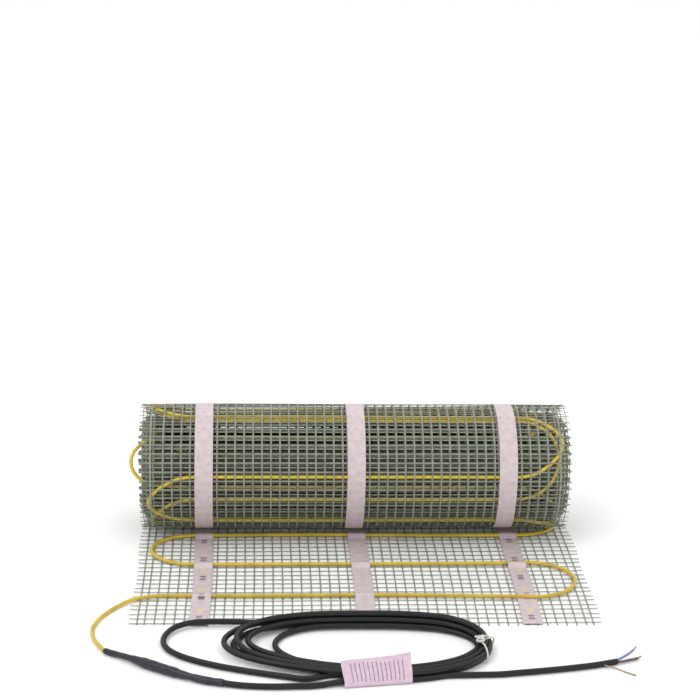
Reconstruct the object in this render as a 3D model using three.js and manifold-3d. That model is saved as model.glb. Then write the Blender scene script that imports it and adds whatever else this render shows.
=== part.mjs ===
// Underfloor heating mat: glass-fibre net with a heating cable held by tapes, mostly rolled up.
// Millimetres. X runs along the roll, Y away from the free end, Z up from the floor.
import * as THREE from 'three';
import { mergeVertices } from 'three/addons/utils/BufferGeometryUtils.js';
import Module from 'manifold-3d';

// Net
const MAT_WIDTH = 480;
const MESH = 10;
const SELVEDGE_INSET = 8;
const THREAD_WIDTH = 1.4;
const THREAD_HEIGHT = 1.0;
const LONG_THREAD_HEIGHT = 0.8;
const FRINGE = 4;
const FLAT_ROWS = 24;
const RUN_UNDER_ROLL = 16;
const ROLL_OVERLAP = 5;

// Tapes
const TAPE_WIDTH = 20;
const TAPE_INSET = 70;
const FLOOR_TAPE = 0.3;
const TOP_TAPE = 0.4;
const TOP_TAPE_SHORT = 2;

// Heating cable
const CABLE_DIAMETER = 4;
const CABLE_PITCH = 75;
const FIRST_PASS = 57.5;
const PASSES = 3;
const CABLE_END_X = 226;
const TURN_START_X = 180;
const TURN_REACH = 48;
const TURN_STEPS = 12;
const CABLE_TO_ROLL = 1;

// Roll
const ROLL_RADIUS = 69.5;
const BORE_RADIUS = 25;
const TURN_PITCH = 5;
const TURN_RELIEF = 1.5;
const BAND_THICKNESS = 0.4;
const ROLL_SIDES = 32;

// Cold lead, joint sleeve and cores
const LEAD_DIAMETER = 6.5;
const LEAD_SIDES = 8;
const CORE_DIAMETER = 2.6;
const EARTH_DIAMETER = 1.4;
const SLEEVE_ENDS = { diameter: 5.6, from: 0, to: 3 };
const SLEEVE_BODY = { diameter: 10, from: 2, to: 6 };
const SLEEVE_TAIL = { diameter: 7.6, from: 5, to: 8 };

// Coil of the cold lead
const COIL_STRANDS_WIDE = 3;
const COIL_LAYERS = 3;
const COIL_FRONT_HEIGHT = 0.8;
const COIL_BACK_Y = 2;
const COIL_FRONT_Y = -128;
const LABEL_THICKNESS = 0.3;
const LABEL_X = [-30, 38];
const TIE_WIDTH = 4;
const TIE_THICKNESS = 0.8;
const TIE_Y = -52;
const OUTLINE_STEP = 16;

const GAP = 0.3;
const FLOOR_CLEARANCE = 0.1;
const SMALLEST_DETAIL = 0.001;

const V = (x, y, z) => new THREE.Vector3(x, y, z);

// Heights that follow from the layers
const netTop = FLOOR_TAPE + THREAD_HEIGHT;
const cableZ = netTop + GAP + CABLE_DIAMETER / 2;
const lastRowY = (FLAT_ROWS - 1) * MESH;
const rollY = lastRowY + RUN_UNDER_ROLL - ROLL_OVERLAP;
const rollZ = netTop + GAP + ROLL_RADIUS * Math.cos(Math.PI / ROLL_SIDES);
const selvedgeX = MAT_WIDTH / 2 - SELVEDGE_INSET;
const outerTapeX = MAT_WIDTH / 2 - TAPE_INSET;
const tapeXs = [-outerTapeX, 0, outerTapeX];
const rollBackY = rollY + ROLL_RADIUS * Math.cos(Math.PI / ROLL_SIDES);
const originY = (rollBackY - FRINGE) / 2;
const leadZ = LEAD_DIAMETER / 2 + FLOOR_CLEARANCE;

// Routes of the free cords, chosen by hand: x, y, z in the mat's own frame
const yellowRoute = [
  [-CABLE_END_X - GAP, FIRST_PASS, cableZ], [-234, 56.2, cableZ], [-241, 52, cableZ], [-248, 45.5, 3.2],
  [-254.5, 37.5, 2.6], [-260.5, 28.5, 2.3], [-267.6, 16, 2.2], [-273, 1.5, 2.2], [-275.6, -14, 2.2],
  [-273.5, -31, 2.3], [-268, -45.4, 2.7], [-261.6, -58.6, 3.2],
].map((p) => V(...p));

const sleeveRoute = [
  [-259.9, -61, 3.3], [-252, -66.6, 3.5], [-244, -71.8, 4.2], [-229, -82.6, 5.15], [-213.5, -93, 5.15],
  [-197, -103.5, 5.15], [-180.5, -112.6, 4.7], [-160, -121.8, 4.1], [-141.4, -127.2, 3.9],
].map((p) => V(...p));

const leadStartRoute = [
  [-141, -127.3, leadZ + 0.4], [-128, -130.4, leadZ], [-112, -132.6, leadZ], [-92, -133.6, leadZ],
  [-70, -132.6, leadZ], [-50, -131, leadZ], [-30.5, -129.4, leadZ],
].map((p) => V(...p));

const wideLoopRoute = [
  [-62, -119.7, leadZ], [-80, -115.2, leadZ], [-104, -108.2, leadZ], [-124, -101.9, leadZ],
  [-144, -94.6, leadZ], [-166, -84.5, leadZ], [-183, -74.2, leadZ], [-194.6, -63.6, leadZ],
  [-201.4, -53, leadZ], [-204, -42, leadZ], [-202.6, -31, leadZ + 0.6], [-197, -20.6, leadZ + 1.6],
  [-187.5, -12.2, leadZ + 2.3], [-175, -7.2, leadZ + 2.6], [-160, -5.6, leadZ + 2.6], [-145, -5.6, leadZ + 2.5],
  [-130, -6, leadZ + 2.4], [-117, -6.4, leadZ + 2.4], [-106, -6.5, leadZ + 2.4],
].map((p) => V(...p));

const leadEndRoute = [
  [90.9, -113.4, leadZ], [104, -113.4, leadZ], [124, -111.4, leadZ], [144, -108.6, leadZ],
  [166, -105.2, leadZ], [188, -101.2, leadZ], [208, -97, leadZ], [225, -92.6, leadZ], [241, -87.2, leadZ],
].map((p) => V(...p));

const coreRoutes = {
  core_brown: [[241.6, -88.4, 2.9], [247, -86.4, 2.8], [254, -83.4, 2.6], [262.2, -79.8, 2.4]],
  core_blue: [[240.8, -85.4, 3.8], [246, -82.6, 4.4], [253.5, -77, 5.6], [259, -72, 6.8], [263.5, -66.5, 8]],
  core_earth: [[231, -94.6, 3], [238, -96.2, 2.2], [246, -98.6, 1.4], [255, -101.9, 1]],
};

// Middle of the coil's bundle, seen from above
const coilMiddle = [
  [0, -7.5], [40, -9], [80, -16], [106, -32], [115, -52], [110, -74], [92, -97], [60, -112], [20, -117.5],
  [-30, -113.5], [-70, -103], [-98, -90.5], [-119, -75.5], [-130.5, -59], [-130, -42.5], [-117, -27],
  [-90, -15.5], [-50, -8.5],
];

// A route that has one station at each of its points
class StationCurve extends THREE.Curve {
  constructor(points) {
    super();
    this.points = points;
  }

  getPoint(t) {
    const at = t * (this.points.length - 1);
    const i = Math.min(Math.floor(at), this.points.length - 2);
    return this.points[i].clone().lerp(this.points[i + 1], at - i);
  }

  getPointAt(u) {
    return this.getPoint(u);
  }

  getTangentAt(u) {
    const last = this.points.length - 1;
    const i = Math.round(u * last);
    const before = this.points[Math.max(i - 1, 0)];
    const after = this.points[Math.min(i + 1, last)];
    return after.clone().sub(before).normalize();
  }
}

function circleShape(radius, sides) {
  const corners = [];
  for (let i = 0; i < sides; i += 1) {
    const angle = ((i + 0.5) * 2 * Math.PI) / sides;
    corners.push(new THREE.Vector2(radius * Math.cos(angle), radius * Math.sin(angle)));
  }
  return new THREE.Shape(corners);
}

function tube(points, diameter, sides) {
  return new THREE.ExtrudeGeometry(circleShape(diameter / 2, sides), {
    steps: points.length - 1,
    extrudePath: new StationCurve(points),
    curveSegments: 1,
  });
}

// An outline drawn in Y and Z, extruded along X from one place to another
function extrudeAlongX(shape, fromX, toX) {
  const geometry = new THREE.ExtrudeGeometry(shape, { depth: toX - fromX, bevelEnabled: false });
  geometry.applyMatrix4(new THREE.Matrix4().makeBasis(V(0, 1, 0), V(0, 0, 1), V(1, 0, 0)));
  geometry.translate(fromX, 0, 0);
  return geometry;
}

const wasm = await Module();
wasm.setup();

function toSolid(geometry) {
  const bare = geometry.clone();
  bare.deleteAttribute('normal');
  bare.deleteAttribute('uv');
  const merged = mergeVertices(bare, 1e-4);
  return new wasm.Manifold(new wasm.Mesh({
    numProp: 3,
    vertProperties: new Float32Array(merged.attributes.position.array),
    triVerts: new Uint32Array(merged.index.array),
  }));
}

function toGeometry(solid) {
  const mesh = solid.getMesh();
  const geometry = new THREE.BufferGeometry();
  geometry.setAttribute('position', new THREE.BufferAttribute(mesh.vertProperties, 3));
  geometry.setIndex(new THREE.BufferAttribute(mesh.triVerts, 1));
  geometry.computeVertexNormals();
  return geometry;
}

const colours = {
  net: [0x959b8c, 0.8],
  tape: [0xe4dcd8, 0.6],
  cable: [0xcdaf2d, 0.45],
  lead: [0x1f2124, 0.5],
  sleeve: [0x2a2c36, 0.35],
  brown: [0x5f4436, 0.5],
  blue: [0x7d83b4, 0.5],
  copper: [0xb9a878, 0.4],
  label: [0xe8d3e2, 0.85],
  tie: [0xd8d8d4, 0.4],
};

const mat = new THREE.Group();
mat.position.y = -originY;

function add(name, geometry, finish) {
  const [color, roughness] = colours[finish];
  const metalness = finish === 'copper' ? 0.8 : 0;
  const mesh = new THREE.Mesh(geometry, new THREE.MeshStandardMaterial({ color, roughness, metalness }));
  mesh.name = name;
  mat.add(mesh);
  return mesh;
}

// Threads: three-sided bars with their flat side down
function threadSection(height) {
  return new THREE.Shape([
    new THREE.Vector2(-THREAD_WIDTH / 2, 0),
    new THREE.Vector2(THREAD_WIDTH / 2, 0),
    new THREE.Vector2(0, height),
  ]);
}

function crossThread(y, fromX, toX) {
  const geometry = extrudeAlongX(threadSection(THREAD_HEIGHT), fromX, toX);
  geometry.translate(0, y, FLOOR_TAPE);
  return geometry;
}

function longThread(x, fromY, toY) {
  const options = { depth: toY - fromY, bevelEnabled: false };
  const geometry = new THREE.ExtrudeGeometry(threadSection(LONG_THREAD_HEIGHT), options);
  geometry.rotateX(Math.PI / 2);
  geometry.translate(x, toY, FLOOR_TAPE);
  return geometry;
}

// A bay of the net lies between two tapes, or between a tape and the mat's edge.
// The long threads under a tape stay out of sight and are left out.
function netBay(fromX, toX) {
  const threads = [];
  for (let row = 0; row < FLAT_ROWS; row += 1) threads.push(crossThread(row * MESH, fromX, toX));
  const underTape = (x) => tapeXs.some((tapeX) => Math.abs(x - tapeX) < TAPE_WIDTH / 2);
  const columns = [-selvedgeX, selvedgeX];
  for (let x = MESH / 2; x < selvedgeX - THREAD_WIDTH; x += MESH) columns.push(x, -x);
  const inBay = columns.filter((x) => x > fromX && x < toX && !underTape(x));
  inBay.forEach((x) => threads.push(longThread(x, -FRINGE, lastRowY + RUN_UNDER_ROLL)));
  return toGeometry(wasm.Manifold.union(threads.map(toSolid)).asOriginal().simplify(SMALLEST_DETAIL));
}

const bayEdges = [-MAT_WIDTH / 2, ...tapeXs, MAT_WIDTH / 2];
['net_left_edge', 'net_left_bay', 'net_right_bay', 'net_right_edge'].forEach((name, i) => {
  const fromX = bayEdges[i] + (i > 0 ? GAP / 2 : 0);
  const toX = bayEdges[i + 1] - (i < 3 ? GAP / 2 : 0);
  add(name, netBay(fromX, toX), 'net');
});

// Tapes below the net lie flat on the floor. Those on top rise over each pass of the cable.
function floorTape(x) {
  const length = lastRowY + RUN_UNDER_ROLL + FRINGE;
  const geometry = new THREE.BoxGeometry(TAPE_WIDTH, length, FLOOR_TAPE);
  geometry.translate(x, length / 2 - FRINGE, FLOOR_TAPE / 2);
  return geometry;
}

function topTape(x) {
  const low = netTop + GAP / 2;
  const high = cableZ + CABLE_DIAMETER / 2 + GAP;
  const under = [[-FRINGE, low]];
  for (let pass = 0; pass < PASSES; pass += 1) {
    const y = FIRST_PASS + pass * CABLE_PITCH;
    const half = CABLE_DIAMETER / 2;
    under.push([y - 3 * half, low], [y - half, high], [y + half, high], [y + 3 * half, low]);
  }
  under.push([lastRowY - TOP_TAPE_SHORT, low]);
  const over = under.map(([y, z]) => [y, z + TOP_TAPE]).reverse();
  const outline = [...under, ...over].map(([y, z]) => new THREE.Vector2(y, z));
  return extrudeAlongX(new THREE.Shape(outline), x - TAPE_WIDTH / 2, x + TAPE_WIDTH / 2);
}

['left', 'middle', 'right'].forEach((side, i) => {
  add(`floor_tape_${side}`, floorTape(tapeXs[i]), 'tape');
  add(`top_tape_${side}`, topTape(tapeXs[i]), 'tape');
});

// The heating cable runs to and fro on top of the net and ends just in front of the roll.
function turnPoints(centreY, side, sweep) {
  const points = [];
  for (let step = 1; step <= TURN_STEPS; step += 1) {
    const angle = (sweep * step) / TURN_STEPS;
    const x = side * (TURN_START_X + TURN_REACH * Math.sin(angle));
    points.push(V(x, centreY - (CABLE_PITCH / 2) * Math.cos(angle), cableZ));
  }
  return points;
}

function heatingCableRoute() {
  const points = [V(-CABLE_END_X, FIRST_PASS, cableZ)];
  for (let pass = 0; pass < PASSES; pass += 1) {
    const side = pass % 2 === 0 ? 1 : -1;
    const y = FIRST_PASS + pass * CABLE_PITCH;
    const centreY = y + CABLE_PITCH / 2;
    points.push(V(side * TURN_START_X, y, cableZ));
    const farEdge = rollFrontAt(cableZ + CABLE_DIAMETER / 2 + CABLE_TO_ROLL) - CABLE_DIAMETER / 2;
    const sweep = pass < PASSES - 1 ? Math.PI : Math.acos((centreY - farEdge) / (CABLE_PITCH / 2));
    points.push(...turnPoints(centreY, side, sweep));
  }
  return points;
}

// Where the front of the roll is at a height
function rollFrontAt(z) {
  return rollY - Math.sqrt(ROLL_RADIUS * ROLL_RADIUS - (rollZ - z) * (rollZ - z));
}

add('heating_cable', tube(heatingCableRoute(), CABLE_DIAMETER, LEAD_SIDES), 'cable');

// The roll: one turned solid with its bore. Each turn of the mat shows as a ridge on its ends.
function endRidges(x, towards) {
  const points = [];
  const turns = Math.floor((ROLL_RADIUS - BORE_RADIUS) / TURN_PITCH);
  const pitch = (ROLL_RADIUS - BORE_RADIUS) / turns;
  for (let turn = 0; turn < turns; turn += 1) {
    const outer = ROLL_RADIUS - turn * pitch;
    points.push(new THREE.Vector2(outer, x - towards * TURN_RELIEF));
    points.push(new THREE.Vector2(outer - pitch / 2, x));
  }
  points.push(new THREE.Vector2(BORE_RADIUS, x - towards * TURN_RELIEF));
  return points;
}

function rollProfile() {
  const seat = ROLL_RADIUS - BAND_THICKNESS - GAP;
  const half = TAPE_WIDTH / 2 + GAP;
  const outside = tapeXs.flatMap((x) => [
    new THREE.Vector2(ROLL_RADIUS, x - half),
    new THREE.Vector2(seat, x - half),
    new THREE.Vector2(seat, x + half),
    new THREE.Vector2(ROLL_RADIUS, x + half),
  ]);
  const leftEnd = endRidges(-MAT_WIDTH / 2, -1).reverse();
  const rightEnd = endRidges(MAT_WIDTH / 2, 1);
  return [...leftEnd, ...outside, ...rightEnd, leftEnd[0].clone()];
}

function bandProfile(x) {
  const inner = ROLL_RADIUS - BAND_THICKNESS;
  const corners = [[inner, -1], [ROLL_RADIUS, -1], [ROLL_RADIUS, 1], [inner, 1], [inner, -1]];
  return corners.map(([r, side]) => new THREE.Vector2(r, x + (side * TAPE_WIDTH) / 2));
}

function addTurned(name, profile, finish) {
  const mesh = add(name, new THREE.LatheGeometry(profile, ROLL_SIDES, Math.PI / ROLL_SIDES), finish);
  mesh.rotation.z = -Math.PI / 2;
  mesh.position.set(0, rollY, rollZ);
}

addTurned('rolled_mat', rollProfile(), 'net');
['left', 'middle', 'right'].forEach((side, i) => {
  addTurned(`roll_tape_${side}`, bandProfile(tapeXs[i]), 'tape');
});

// The free end of the cable, its joint sleeve and the cold lead
add('yellow_lead', tube(yellowRoute, CABLE_DIAMETER, LEAD_SIDES), 'cable');

function sleevePart({ diameter, from, to }) {
  return toSolid(tube(sleeveRoute.slice(from, to + 1), diameter, 12));
}

const sleeve = wasm.Manifold.union([SLEEVE_ENDS, SLEEVE_BODY, SLEEVE_TAIL].map(sleevePart));
add('joint_sleeve', toGeometry(sleeve), 'sleeve');
add('lead_start', tube(leadStartRoute, LEAD_DIAMETER, LEAD_SIDES), 'lead');
add('lead_wide_loop', tube(wideLoopRoute, LEAD_DIAMETER, LEAD_SIDES), 'lead');
add('lead_end', tube(leadEndRoute, LEAD_DIAMETER, LEAD_SIDES), 'lead');

Object.entries(coreRoutes).forEach(([name, route]) => {
  const diameter = name === 'core_earth' ? EARTH_DIAMETER : CORE_DIAMETER;
  const finish = { core_brown: 'brown', core_blue: 'blue', core_earth: 'copper' }[name];
  add(name, tube(route.map((p) => V(...p)), diameter, LEAD_SIDES), finish);
});

// The coil is one solid: its bundle's outline raised to the height of the stacked strands.
// Its back lies on the mat's edge and its front on the floor, so it leans forward a little.
const coilHeight = LEAD_DIAMETER * (1 + (COIL_LAYERS - 1) * Math.sin(Math.PI / 3));
const coilHalfWidth = (COIL_STRANDS_WIDE * LEAD_DIAMETER) / 2;
const coilBackHeight = netTop + TOP_TAPE + 3 * GAP;
const coilLean = Math.atan((coilBackHeight - COIL_FRONT_HEIGHT) / (COIL_BACK_Y - COIL_FRONT_Y));
const coilBottomAt = (y) => COIL_FRONT_HEIGHT + (y - COIL_FRONT_Y) * Math.tan(coilLean);

function coilOutline(offset) {
  const curve = new THREE.CatmullRomCurve3(coilMiddle.map(([x, y]) => V(x, y, 0)), true, 'centripetal');
  const points = [];
  const count = Math.round(curve.getLength() / OUTLINE_STEP);
  for (let i = 0; i < count; i += 1) {
    const at = curve.getPointAt(i / count);
    const along = curve.getTangentAt(i / count);
    points.push(new THREE.Vector2(at.x - along.y * offset, at.y + along.x * offset));
  }
  return points;
}

function coilBlock(offset, bottom, top) {
  const shape = new THREE.Shape(coilOutline(offset));
  const geometry = new THREE.ExtrudeGeometry(shape, { depth: top - bottom, bevelEnabled: false });
  geometry.translate(0, -COIL_FRONT_Y, bottom);
  return toSolid(geometry);
}

const coilHole = coilBlock(-coilHalfWidth, -GAP, coilHeight + GAP);
const coilGeometry = toGeometry(coilBlock(coilHalfWidth, 0, coilHeight).subtract(coilHole));
const coil = add('lead_coil', coilGeometry, 'lead');
coil.rotation.x = coilLean;
coil.position.set(0, COIL_FRONT_Y, COIL_FRONT_HEIGHT);

// A thin wrap with a hollow: an outline with a hole, drawn across the coil's bundle
function wrapShape(low, high, bottom, top, thickness) {
  const outer = new THREE.Shape([
    new THREE.Vector2(low - thickness, bottom - thickness),
    new THREE.Vector2(high + thickness, bottom - thickness),
    new THREE.Vector2(high + thickness, top + thickness),
    new THREE.Vector2(low - thickness, top + thickness),
  ]);
  outer.holes.push(new THREE.Path([
    new THREE.Vector2(low, bottom),
    new THREE.Vector2(low, top),
    new THREE.Vector2(high, top),
    new THREE.Vector2(high, bottom),
  ]));
  return outer;
}

function bundleRange(fromX, toX) {
  const inner = coilOutline(-coilHalfWidth);
  const outer = coilOutline(coilHalfWidth);
  const near = [...inner, ...outer].filter((p) => p.x > fromX - OUTLINE_STEP && p.x < toX + OUTLINE_STEP);
  const front = near.filter((p) => p.y < TIE_Y);
  const ys = front.map((p) => p.y);
  return [Math.min(...ys), Math.max(...ys)];
}

const [labelFront, labelBack] = bundleRange(...LABEL_X);
const labelShape = wrapShape(
  labelFront - GAP,
  labelBack + GAP,
  LABEL_THICKNESS + FLOOR_CLEARANCE,
  coilBottomAt(labelBack) + coilHeight + GAP,
  LABEL_THICKNESS,
);
add('lead_label', extrudeAlongX(labelShape, ...LABEL_X), 'label');

const tieXs = coilOutline(coilHalfWidth).concat(coilOutline(-coilHalfWidth))
  .filter((p) => p.x > 0 && Math.abs(p.y - TIE_Y) < OUTLINE_STEP).map((p) => p.x);
const tieShape = wrapShape(
  Math.min(...tieXs) - GAP,
  Math.max(...tieXs) + GAP,
  coilBottomAt(TIE_Y - TIE_WIDTH) - GAP,
  coilBottomAt(TIE_Y + TIE_WIDTH) + coilHeight + GAP,
  TIE_THICKNESS,
);
const tieGeometry = new THREE.ExtrudeGeometry(tieShape, { depth: TIE_WIDTH, bevelEnabled: false });
tieGeometry.rotateX(Math.PI / 2);
tieGeometry.translate(0, TIE_Y + TIE_WIDTH / 2, 0);
add('coil_tie', tieGeometry, 'tie');

export default mat;
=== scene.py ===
"""Underfloor heating mat, part rolled, with its cable, tapes, joint sleeve and coiled cold lead.

Laid out as a Blender add-on and run as a script. Lengths in the code are millimetres in the mat's own
frame, x across the mat, s along it from the free edge and z up, and become metres when a mesh is made.
"""

import math

import bpy
import numpy as np
from mathutils import Matrix, Vector


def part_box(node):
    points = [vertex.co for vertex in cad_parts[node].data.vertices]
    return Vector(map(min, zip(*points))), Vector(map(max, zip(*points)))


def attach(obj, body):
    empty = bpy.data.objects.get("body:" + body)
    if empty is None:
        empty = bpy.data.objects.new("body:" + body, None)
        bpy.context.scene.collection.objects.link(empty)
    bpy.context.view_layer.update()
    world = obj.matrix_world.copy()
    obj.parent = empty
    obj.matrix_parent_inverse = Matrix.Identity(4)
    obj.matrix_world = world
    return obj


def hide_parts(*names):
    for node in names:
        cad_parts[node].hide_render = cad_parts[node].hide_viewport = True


bl_info = {
    "name": "Underfloor heating mat",
    "version": (1, 0, 0),
    "blender": (4, 5, 0),
    "location": "3D View > Sidebar > Heating mat",
    "description": "Models a part-rolled heating mat with its cable, tapes and coiled lead",
    "category": "Object",
}

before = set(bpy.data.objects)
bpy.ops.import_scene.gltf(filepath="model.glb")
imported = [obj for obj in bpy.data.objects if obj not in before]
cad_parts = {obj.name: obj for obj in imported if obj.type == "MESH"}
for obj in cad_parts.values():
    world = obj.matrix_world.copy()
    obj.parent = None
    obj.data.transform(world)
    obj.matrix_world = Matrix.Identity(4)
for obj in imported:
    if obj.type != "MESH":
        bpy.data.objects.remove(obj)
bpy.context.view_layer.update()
MM = 0.001

# Net and tapes
FRINGE = 4.0
MESH = 10.0
HALF_WIDTH = 240.0
SELVEDGE_X = 232.5
NET_HEIGHT = 1.05
MAT_LENGTH = 3000.0
FLAT_THREAD = 1.3
ROLLED_THREAD = 1.5
INNER_WEFT = 4.4
INNER_WARP = 2.4
THREAD_THICKNESS = 0.95
FLAT_ROWS = 24
OUTER_ROWS = 92
TAPE_XS = (-170.0, 0.0, 170.0)
TAPE_WIDTH = 20.0
TAPE_THICKNESS = 0.12
SIDES = ("left", "middle", "right")
FLAT_NET_NODES = ("net_left_edge", "net_left_bay", "net_right_bay", "net_right_edge")

# Cable
CABLE_DIAMETER = 4.0
CABLE_HEIGHT = 2.4
FLAT_PASSES = (57.5, 132.5, 207.5)
PASS_SLANTS = (-4.3, 3.5, -1.5)
OUTER_PASSES = (275.0, 343.0, 411.0, 478.6, 555.7, 620.6)
SECOND_PASSES = (693.0, 762.0, 831.0, 900.2, 997.7, 1079.0, 1155.0, 1231.0, 1307.0, 1367.0)
INNER_PITCH = 78.0
CABLE_EXIT = ((-226.0, 3.0), (-216.0, 1.2), (-205.0, 0.3), (-190.0, 0.0))
TURN_START_X = 180.0
TURN_REACH = 47.0
LOOSE_TURN = 18
LOOSE_REACH = 92.0

# Roll
ROLL_START = 240.0
ROLL_RADIUS = 72.0
TURN_PITCH = 5.0
NARROWED = 0.021
ROLL_SHIFT = -3.9
EDGE_SPREAD = (7.0, 7.0)
SECOND_TURN_RISE = 1.8
ROLLED_FRINGE = 0.45

# Cold lead
LEAD_DIAMETER = 5.9
LANE = 5.95

FREE_EDGE_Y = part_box("net_left_bay")[0].y / MM + FRINGE

# Camera: place in the mat's frame and the angles it looks at
CAMERA_PLACE = (-102.3, -1702.0, 881.4)
CAMERA_YAW = 2.71
CAMERA_PITCH = 19.01
CAMERA_ROLL = 1.07
CAMERA_LENS = 96.07

# Routes of the free cords, listed as in the part's source
YELLOW_ROUTE = [
    (-225.2, 54.6, 3.5), (-234, 51.8, 3.6), (-241, 47.6, 3.6), (-248, 42, 3.2), (-254.5, 35, 2.6),
    (-260.5, 27, 2.3), (-267.6, 15.4, 2.2), (-273, 1.5, 2.2), (-275.6, -14, 2.2), (-273.5, -31, 2.3),
    (-268, -45.4, 2.7), (-261.6, -58.6, 3.2),
]
SLEEVE_ROUTE = [
    (-259.9, -61, 3.3), (-252, -66.6, 3.5), (-244, -71.8, 4.2), (-229, -82.6, 5.15), (-213.5, -93, 5.15),
    (-197, -103.5, 5.15), (-180.5, -112.6, 4.7), (-160, -121.8, 4.1), (-141.4, -127.2, 3.9),
]
LEAD_START_ROUTE = [
    (-141, -127.3, 3.75), (-128, -130.4, 3.35), (-112, -132.6, 3.35), (-92, -133.6, 3.35),
    (-70, -132.6, 3.35), (-50, -131, 3.35),
]
WIDE_LOOP_ROUTE = [
    (-62, -119.7, 3.35), (-80, -115.2, 3.35), (-104, -108.2, 3.35), (-124, -101.9, 3.35),
    (-144, -94.6, 3.35), (-166, -84.5, 3.35), (-183, -74.2, 3.35), (-194.6, -63.6, 3.35),
    (-201.4, -53, 3.35), (-204, -42, 3.35), (-202.6, -31, 3.95), (-197, -20.6, 4.95),
    (-187.5, -12.2, 5.65), (-175, -7.2, 5.95), (-160, -5.6, 5.95), (-145, -5.6, 5.85), (-130, -6, 5.75),
]
LEAD_END_ROUTE = [
    (90, -112.6, 3.05), (104, -112, 3.05), (124, -111.4, 3.1), (144, -108.6, 3.35), (166, -105.2, 3.35),
    (188, -101.2, 3.35), (208, -97, 3.35), (225, -92.6, 3.35), (241, -87.2, 3.35),
]
CORE_ROUTES = {
    "brown": [
        (240.4, -88.2, 3.0), (247, -86.4, 2.8), (254, -83.4, 2.6), (262.2, -79.8, 2.4), (267.2, -75.4, 2.6),
    ],
    "blue": [
        (239.8, -86.0, 3.8), (246, -82.6, 4.4), (253.5, -77, 5.6), (259, -72, 6.8), (263.5, -66.5, 8),
    ],
    "earth": [
        (226, -93.4, 3.4), (233, -96.6, 2.6), (240, -99.4, 1.6), (248, -105.4, 1), (255.6, -111, 0.9),
    ],
}
COIL_MIDDLE = [
    (0, -7.5), (40, -9), (80, -16), (106, -32), (115, -52), (110, -74), (92, -97), (60, -112),
    (20, -117.5), (-30, -113.5), (-70, -103), (-98, -90.5), (-119, -75.5), (-130.5, -59),
    (-130, -42.5), (-117, -27), (-90, -15.5), (-50, -8.5),
]


# Geometry helpers

def metres(points):
    """Points of the mat's own frame, in the row frame."""
    out = np.array(points, float).reshape(-1, 3) * MM
    out[:, 1] += FREE_EDGE_Y * MM
    return out


def millimetres(name):
    """One of the sizes that the scene's settings hold."""
    return round(getattr(bpy.context.scene.heatmat_sizes, name) / MM, 4)


def smooth(t):
    """A step from 0 to 1 with soft ends."""
    t = np.clip(t, 0, 1)
    return t * t * (3 - 2 * t)


def wind(points):
    """Lays flat points (x, s, h) of the mat, h on the cable's side, on the floor and round the roll.

    The roll is a spiral that starts at its bottom. Its edges spread a little and its turns are uneven.
    """
    x, s, h = np.array(points, float).reshape(-1, 3).T
    run = np.maximum(s - ROLL_START, 0)
    pitch = TURN_PITCH / (2 * math.pi)
    angle = (ROLL_RADIUS - np.sqrt(ROLL_RADIUS ** 2 - 2 * pitch * run)) / pitch
    rolled = smooth(run / 60)
    fringe = np.maximum(np.abs(x) - SELVEDGE_X, 0)
    x = x - np.sign(x) * fringe * rolled * (1 - ROLLED_FRINGE)
    spread = np.where(x < 0, *EDGE_SPREAD) * np.cos(angle / 9) ** 2
    x = x + rolled * (np.sign(x) * spread * smooth((np.abs(x) - 215) / 16) + ROLL_SHIFT - NARROWED * x)
    x = x + 0.7 * np.sin(s / 57.0) * (1 - rolled)
    s = s + 0.5 * np.sin(x / 43.0 + s / 71.0) * smooth(s / 30)
    uneven = 0.3 * np.sin(2 * angle + x / 85.0) + 0.2 * np.sin(5 * angle - x / 47.0)
    turns = angle / (2 * math.pi)
    second = smooth((turns - 0.85) / 0.3) * (1 - smooth((turns - 1.85) / 0.3))
    radius = ROLL_RADIUS - pitch * angle - h - rolled * uneven + SECOND_TURN_RISE * second
    lifted = NET_HEIGHT + 0.12 * (1 + np.sin(s / 23.0 + x / 37.0)) * smooth(s / 20)
    flat = s < ROLL_START
    y = np.where(flat, s, ROLL_START + radius * np.sin(angle))
    z = np.where(flat, lifted + h, ROLL_RADIUS + NET_HEIGHT - radius * np.cos(angle))
    return np.stack([x, y, z], axis=1)


def catmull(points, step, closed=False):
    """Points about step apart on a smooth line through the given ones."""
    p = [np.array(v, float) for v in points]
    count = len(p) if closed else len(p) - 1
    out = []
    for i in range(count):
        a = p[(i - 1) % len(p)] if closed or i > 0 else 2 * p[0] - p[1]
        b, c = p[i], p[(i + 1) % len(p)]
        d = p[(i + 2) % len(p)] if closed or i + 2 < len(p) else 2 * p[-1] - p[-2]
        pieces = max(2, int(round(np.linalg.norm(c - b) / step)))
        for k in range(pieces):
            t = k / pieces
            out.append(0.5 * (2 * b + (c - a) * t + (2 * a - 5 * b + 4 * c - d) * t ** 2
                              + (3 * b - a - 3 * c + d) * t ** 3))
    if not closed:
        out.append(p[-1])
    return np.array(out)


def distances(points):
    """The distance of each point from the first one, along the line."""
    return np.concatenate([[0], np.cumsum(np.linalg.norm(np.diff(points, axis=0), axis=1))])


def frame_along(points):
    """Unit vectors across a line and up from it, at each of its points."""
    tangents = np.gradient(points, axis=0)
    tangents /= np.linalg.norm(tangents, axis=1)[:, None]
    across = np.cross(tangents, (0, 0, 1.0))
    across /= np.linalg.norm(across, axis=1)[:, None]
    return across, np.cross(across, tangents)


def place(obj, points):
    """Moves a mesh's points, given in the mat's own frame in millimetres, to the row frame."""
    obj.data.vertices.foreach_set("co", metres(points).astype(np.float32).ravel())
    obj.data.update()


def points_of(obj):
    co = np.zeros(len(obj.data.vertices) * 3, np.float32)
    obj.data.vertices.foreach_get("co", co)
    return co.reshape(-1, 3).astype(float)


def select_only(obj):
    bpy.ops.object.select_all(action="DESELECT")
    obj.select_set(True)
    bpy.context.view_layer.objects.active = obj


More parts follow.
